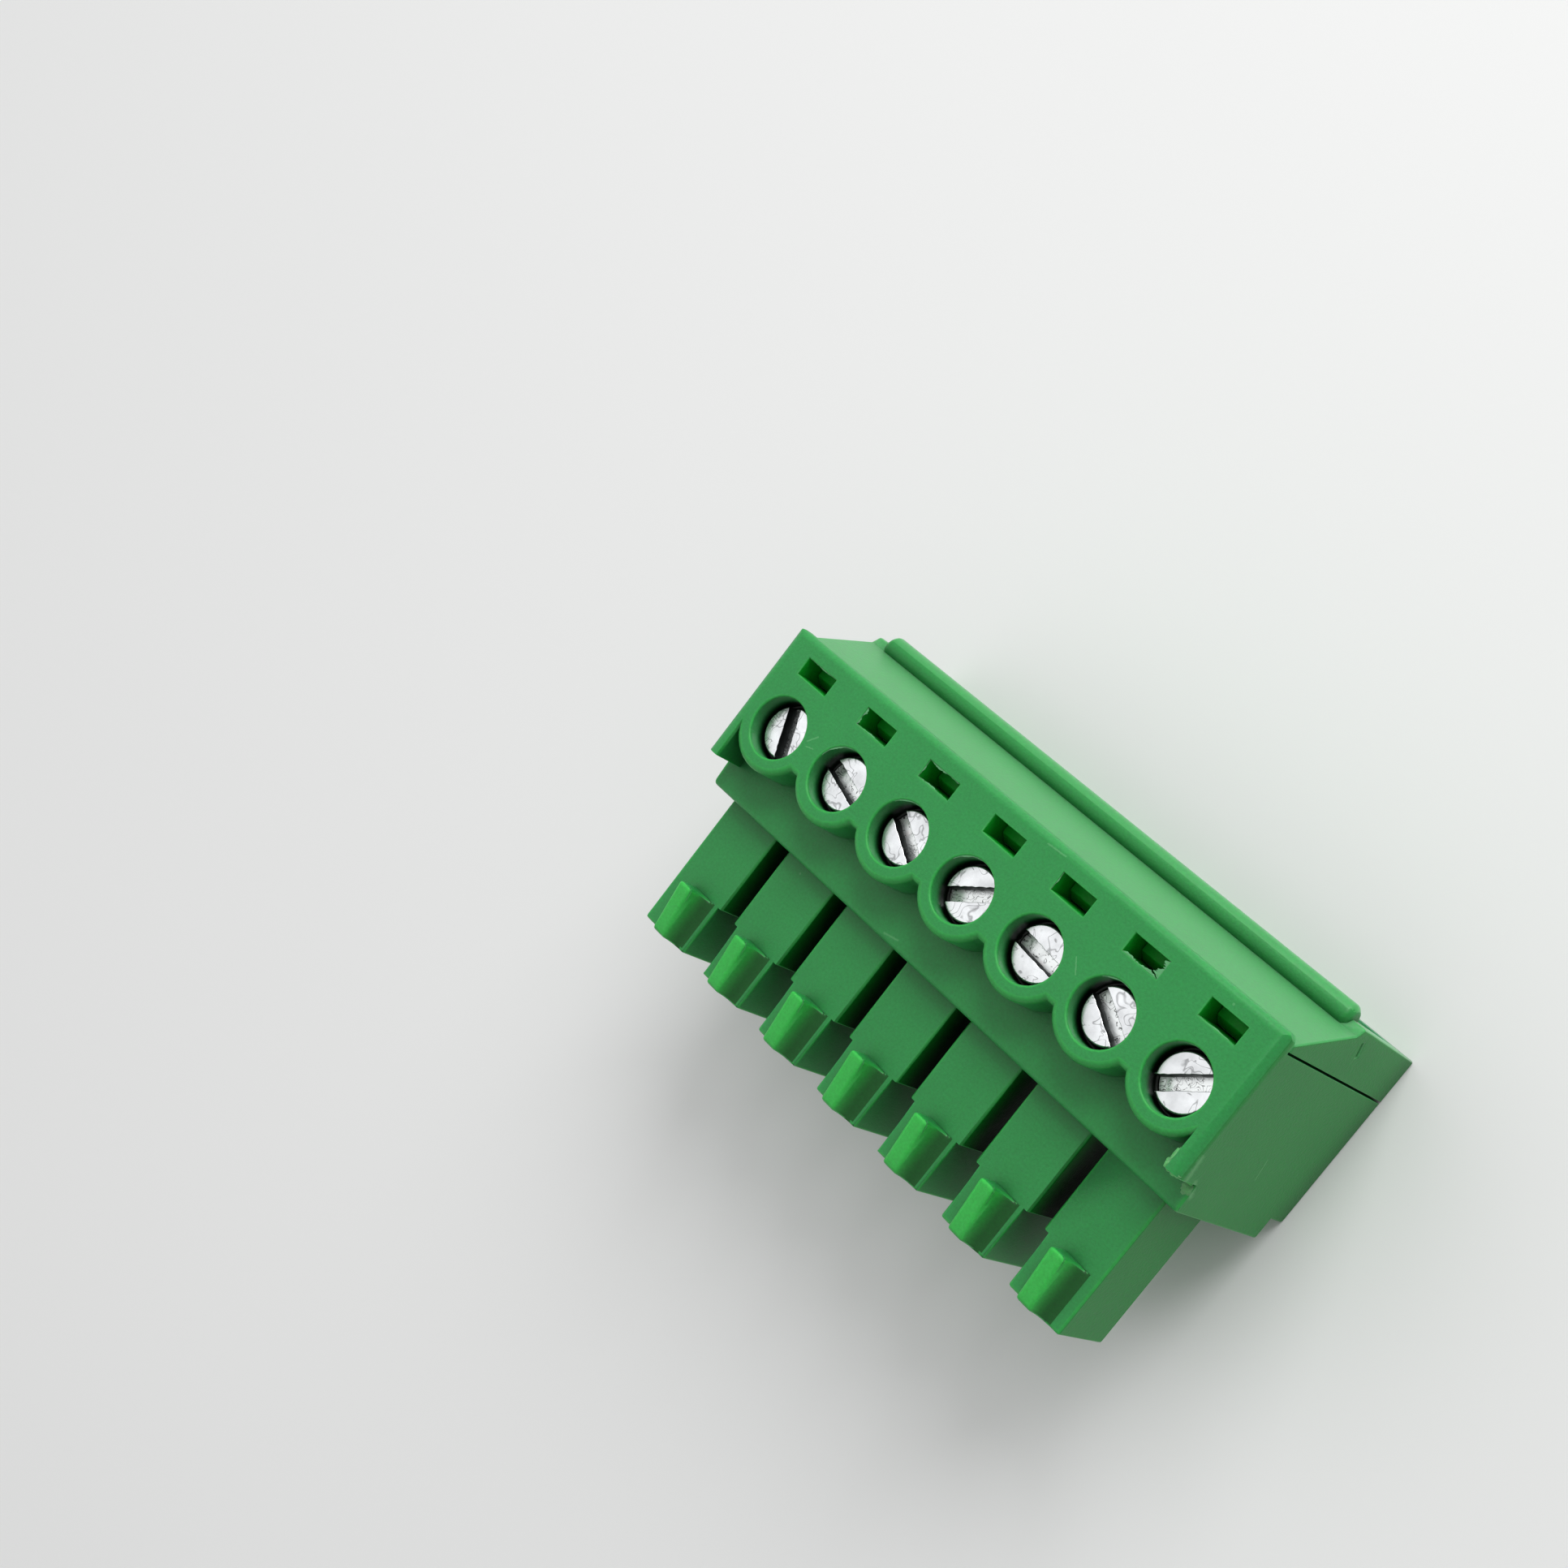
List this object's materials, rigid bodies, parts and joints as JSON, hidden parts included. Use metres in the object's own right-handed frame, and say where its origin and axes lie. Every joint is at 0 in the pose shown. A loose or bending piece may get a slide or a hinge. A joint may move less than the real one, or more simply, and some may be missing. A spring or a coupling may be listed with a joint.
{
  "type": "pluggable terminal block",
  "caption": "Pluggable screw terminal block: green plug housing with a row of slotted clamp screws, latched wire cover and contact fingers for a board header.",
  "frame": {"origin": "centre of the footprint, at the base that the block rests on", "axes": "+X along the row of poles, +Y toward the wire entries, +Z out of the screw face"},
  "size_m": [0.0274, 0.0158, 0.0111],
  "materials": {
    "housing_plastic": "moulded green polyamide, satin",
    "cover_plastic": "moulded green polyamide, satin",
    "screw_steel": "bright zinc-plated steel",
    "cage_brass": "nickel-plated brass",
    "contact_tinned": "tin-plated copper alloy"
  },
  "bodies": {
    "block": {"housing": "housing_plastic", "wire_cover": "cover_plastic", "contact_1": "contact_tinned", "contact_2": "contact_tinned", "contact_3": "contact_tinned", "contact_4": "contact_tinned", "contact_5": "contact_tinned", "contact_6": "contact_tinned", "contact_7": "contact_tinned"},
    "screw_1": {"clamp_screw_1": "screw_steel"},
    "cage_1": {"clamp_cage_1": "cage_brass"},
    "screw_2": {"clamp_screw_2": "screw_steel"},
    "cage_2": {"clamp_cage_2": "cage_brass"},
    "screw_3": {"clamp_screw_3": "screw_steel"},
    "cage_3": {"clamp_cage_3": "cage_brass"},
    "screw_4": {"clamp_screw_4": "screw_steel"},
    "cage_4": {"clamp_cage_4": "cage_brass"},
    "screw_5": {"clamp_screw_5": "screw_steel"},
    "cage_5": {"clamp_cage_5": "cage_brass"},
    "screw_6": {"clamp_screw_6": "screw_steel"},
    "cage_6": {"clamp_cage_6": "cage_brass"},
    "screw_7": {"clamp_screw_7": "screw_steel"},
    "cage_7": {"clamp_cage_7": "cage_brass"}
  },
  "joints": [
    {"name": "cage_lift_1", "type": "slide", "parent": "block", "child": "cage_1", "axis": [0, 0, 1], "range_m": [0, 0.0022]},
    {"name": "screw_turn_1", "type": "hinge", "parent": "block", "child": "screw_1", "pos_m": [-0.01143, 0.00217, 0.0102], "axis": [0, 0, -1], "range_deg": [0, 1981]},
    {"name": "cage_lift_2", "type": "slide", "parent": "block", "child": "cage_2", "axis": [0, 0, 1], "range_m": [0, 0.0022]},
    {"name": "screw_turn_2", "type": "hinge", "parent": "block", "child": "screw_2", "pos_m": [-0.00762, 0.00217, 0.0102], "axis": [0, 0, -1], "range_deg": [0, 1981]},
    {"name": "cage_lift_3", "type": "slide", "parent": "block", "child": "cage_3", "axis": [0, 0, 1], "range_m": [0, 0.0022]},
    {"name": "screw_turn_3", "type": "hinge", "parent": "block", "child": "screw_3", "pos_m": [-0.00381, 0.00217, 0.0102], "axis": [0, 0, -1], "range_deg": [0, 1981]},
    {"name": "cage_lift_4", "type": "slide", "parent": "block", "child": "cage_4", "axis": [0, 0, 1], "range_m": [0, 0.0022]},
    {"name": "screw_turn_4", "type": "hinge", "parent": "block", "child": "screw_4", "pos_m": [0, 0.00217, 0.0102], "axis": [0, 0, -1], "range_deg": [0, 1981]},
    {"name": "cage_lift_5", "type": "slide", "parent": "block", "child": "cage_5", "axis": [0, 0, 1], "range_m": [0, 0.0022]},
    {"name": "screw_turn_5", "type": "hinge", "parent": "block", "child": "screw_5", "pos_m": [0.00381, 0.00217, 0.0102], "axis": [0, 0, -1], "range_deg": [0, 1981]},
    {"name": "cage_lift_6", "type": "slide", "parent": "block", "child": "cage_6", "axis": [0, 0, 1], "range_m": [0, 0.0022]},
    {"name": "screw_turn_6", "type": "hinge", "parent": "block", "child": "screw_6", "pos_m": [0.00762, 0.00217, 0.0102], "axis": [0, 0, -1], "range_deg": [0, 1981]},
    {"name": "cage_lift_7", "type": "slide", "parent": "block", "child": "cage_7", "axis": [0, 0, 1], "range_m": [0, 0.0022]},
    {"name": "screw_turn_7", "type": "hinge", "parent": "block", "child": "screw_7", "pos_m": [0.01143, 0.00217, 0.0102], "axis": [0, 0, -1], "range_deg": [0, 1981]}
  ],
  "couplings": [
    {"joint": "screw_turn_1", "follows": "cage_lift_1", "rad_per_m": 15708},
    {"joint": "screw_turn_2", "follows": "cage_lift_2", "rad_per_m": 15708},
    {"joint": "screw_turn_3", "follows": "cage_lift_3", "rad_per_m": 15708},
    {"joint": "screw_turn_4", "follows": "cage_lift_4", "rad_per_m": 15708},
    {"joint": "screw_turn_5", "follows": "cage_lift_5", "rad_per_m": 15708},
    {"joint": "screw_turn_6", "follows": "cage_lift_6", "rad_per_m": 15708},
    {"joint": "screw_turn_7", "follows": "cage_lift_7", "rad_per_m": 15708}
  ]
}
